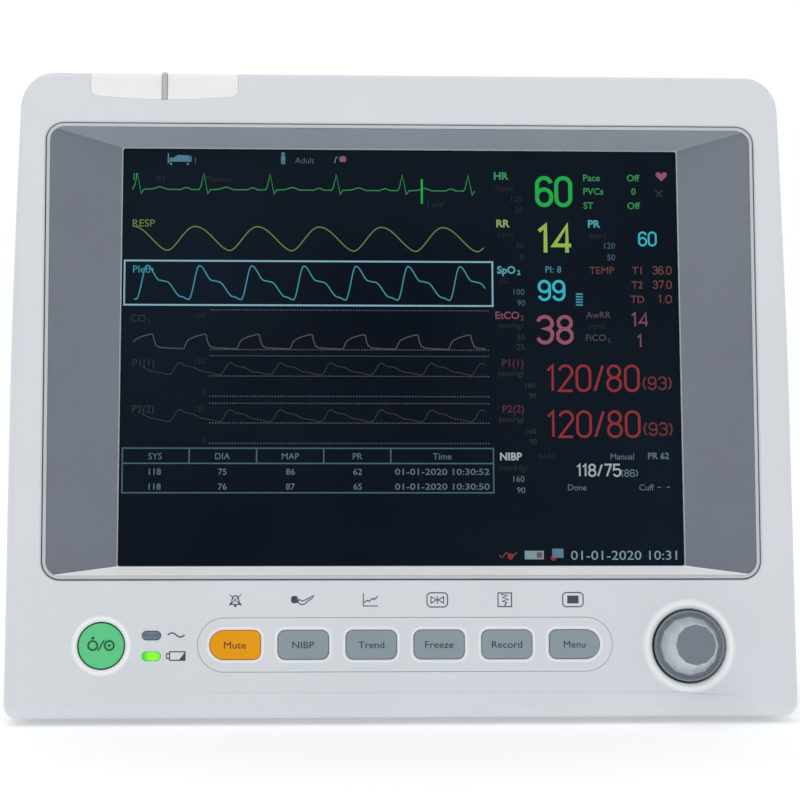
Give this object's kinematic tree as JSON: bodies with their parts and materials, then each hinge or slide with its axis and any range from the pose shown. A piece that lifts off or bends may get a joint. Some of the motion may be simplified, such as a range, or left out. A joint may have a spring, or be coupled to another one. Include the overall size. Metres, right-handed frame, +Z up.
{
  "type": "patient monitor",
  "caption": "Bedside patient monitor with leaning front, recessed display, key row, push knob, alarm lamp, side sockets, recorder, battery door and folding handle.",
  "frame": {"origin": "on the floor, under the middle of the bounding box", "axes": "+Z up, the display faces -Y and leans back 8 degrees, +X to the right of someone facing the display"},
  "size_m": [0.2922, 0.154, 0.2433],
  "materials": {
    "bezel_white": "fine texture, painted off-white",
    "rear_white": "fine texture, moulded off-white",
    "mask_silver": "metallic grey paint",
    "glass_black": "dark display window",
    "key_grey": "satin blue-grey",
    "key_orange": "satin orange",
    "button_green": "satin green",
    "knob_grey": "satin blue-grey",
    "lamp_cream": "translucent diffuser",
    "led_slate": "unlit light pipe",
    "led_green": "lit light pipe",
    "socket_blue": "moulded",
    "dark_plastic": "moulded black",
    "steel": "plain",
    "aluminium": "plain",
    "brass": "plain",
    "rubber": "matt",
    "board_green": "solder mask",
    "paper": "thermal paper",
    "battery_grey": "moulded"
  },
  "bodies": {
    "case": {"ac_inlet": "dark_plastic", "alarm_lamp_divider": "bezel_white", "alarm_lamp_left": "lamp_cream", "alarm_lamp_right": "lamp_cream", "battery_pack": "battery_grey", "battery_tray": "rear_white", "chassis": "aluminium", "co2_socket": "socket_blue", "connector_panel": "bezel_white", "display_mask": "mask_silver", "ecg_socket": "socket_blue", "encoder_body": "steel", "equipotential_terminal": "brass", "foot_front_left": "rubber", "foot_front_right": "rubber", "foot_rear_left": "rubber", "foot_rear_right": "rubber", "front_housing": "bezel_white", "heat_sink": "aluminium", "ibp_sockets": "socket_blue", "key_surround": "bezel_white", "keypad_board": "board_green", "lcd_glass": "glass_black", "lcd_panel": "steel", "led_battery": "led_green", "led_mains": "led_slate", "main_board": "board_green", "mounting_plate": "aluminium", "network_port": "steel", "nibp_nozzle": "steel", "nibp_pump": "steel", "paper_spindle": "dark_plastic", "parameter_board": "board_green", "power_supply": "board_green", "print_head": "dark_plastic", "rear_housing": "rear_white", "recorder_frame": "bezel_white", "speaker": "dark_plastic", "spo2_socket": "socket_blue", "stepper_motor": "steel", "temp_sockets": "socket_blue"},
    "power_button": {"power_button": "button_green"},
    "key_mute_cap": {"key_mute": "key_orange"},
    "key_nibp_cap": {"key_nibp": "key_grey"},
    "key_trend_cap": {"key_trend": "key_grey"},
    "key_freeze_cap": {"key_freeze": "key_grey"},
    "key_record_cap": {"key_record": "key_grey"},
    "key_menu_cap": {"key_menu": "key_grey"},
    "knob_carrier": {"encoder_plunger": "dark_plastic"},
    "knob_turning": {"knob": "knob_grey", "encoder_shaft": "steel"},
    "carry_handle": {"handle": "bezel_white"},
    "recorder_flap": {"recorder_door": "bezel_white"},
    "recorder_button": {"recorder_release": "key_grey"},
    "roll": {"paper_roll": "paper"},
    "platen": {"platen_roller": "rubber", "platen_gear": "dark_plastic"},
    "pinion": {"motor_pinion": "brass"},
    "battery_flap": {"battery_door": "bezel_white"},
    "battery_catch": {"battery_latch": "key_grey"}
  },
  "joints": [
    {"name": "power_press", "type": "slide", "parent": "case", "child": "power_button", "axis": [0, 0.9903, -0.1392], "range_m": [0, 0.0008], "stiffness_N_per_m": 800},
    {"name": "key_mute_press", "type": "slide", "parent": "case", "child": "key_mute_cap", "axis": [0, 0.9903, -0.1392], "range_m": [0, 0.0008], "stiffness_N_per_m": 800},
    {"name": "key_nibp_press", "type": "slide", "parent": "case", "child": "key_nibp_cap", "axis": [0, 0.9903, -0.1392], "range_m": [0, 0.0008], "stiffness_N_per_m": 800},
    {"name": "key_trend_press", "type": "slide", "parent": "case", "child": "key_trend_cap", "axis": [0, 0.9903, -0.1392], "range_m": [0, 0.0008], "stiffness_N_per_m": 800},
    {"name": "key_freeze_press", "type": "slide", "parent": "case", "child": "key_freeze_cap", "axis": [0, 0.9903, -0.1392], "range_m": [0, 0.0008], "stiffness_N_per_m": 800},
    {"name": "key_record_press", "type": "slide", "parent": "case", "child": "key_record_cap", "axis": [0, 0.9903, -0.1392], "range_m": [0, 0.0008], "stiffness_N_per_m": 800},
    {"name": "key_menu_press", "type": "slide", "parent": "case", "child": "key_menu_cap", "axis": [0, 0.9903, -0.1392], "range_m": [0, 0.0008], "stiffness_N_per_m": 800},
    {"name": "knob_press", "type": "slide", "parent": "case", "child": "knob_carrier", "axis": [0, 0.9903, -0.1392], "range_m": [0, 0.0007], "stiffness_N_per_m": 1500},
    {"name": "knob_turn", "type": "hinge", "parent": "knob_carrier", "child": "knob_turning", "pos_m": [0.1052, -0.06081, 0.02864], "axis": [0, -0.9903, 0.1392], "continuous": true},
    {"name": "handle_fold", "type": "hinge", "parent": "case", "child": "carry_handle", "pos_m": [0, 0.029, 0.224], "axis": [1, 0, 0], "range_deg": [0, 90]},
    {"name": "recorder_door_hinge", "type": "hinge", "parent": "case", "child": "recorder_flap", "pos_m": [0.1391, 0, 0.1004], "axis": [0, 1, 0], "range_deg": [0, 100]},
    {"name": "recorder_release_press", "type": "slide", "parent": "case", "child": "recorder_button", "axis": [-1, 0, 0], "range_m": [0, 0.0015], "stiffness_N_per_m": 500},
    {"name": "paper_roll_turn", "type": "hinge", "parent": "case", "child": "roll", "pos_m": [0.1175, 0, 0.1185], "axis": [0, 1, 0], "continuous": true},
    {"name": "platen_turn", "type": "hinge", "parent": "case", "child": "platen", "pos_m": [0.13, 0, 0.153], "axis": [0, 1, 0], "continuous": true},
    {"name": "motor_turn", "type": "hinge", "parent": "case", "child": "pinion", "pos_m": [0.11905, 0, 0.153], "axis": [0, 1, 0], "continuous": true},
    {"name": "battery_door_hinge", "type": "hinge", "parent": "case", "child": "battery_flap", "pos_m": [0.1391, 0, 0.0475], "axis": [0, -1, 0], "range_deg": [0, 80]},
    {"name": "battery_latch_slide", "type": "slide", "parent": "battery_flap", "child": "battery_catch", "axis": [0, 0, 1], "range_m": [0, 0.002], "stiffness_N_per_m": 400}
  ],
  "couplings": [
    {"joint": "platen_turn", "follows": "paper_roll_turn", "ratio": -4.2222},
    {"joint": "motor_turn", "follows": "paper_roll_turn", "ratio": 8.4444}
  ]
}
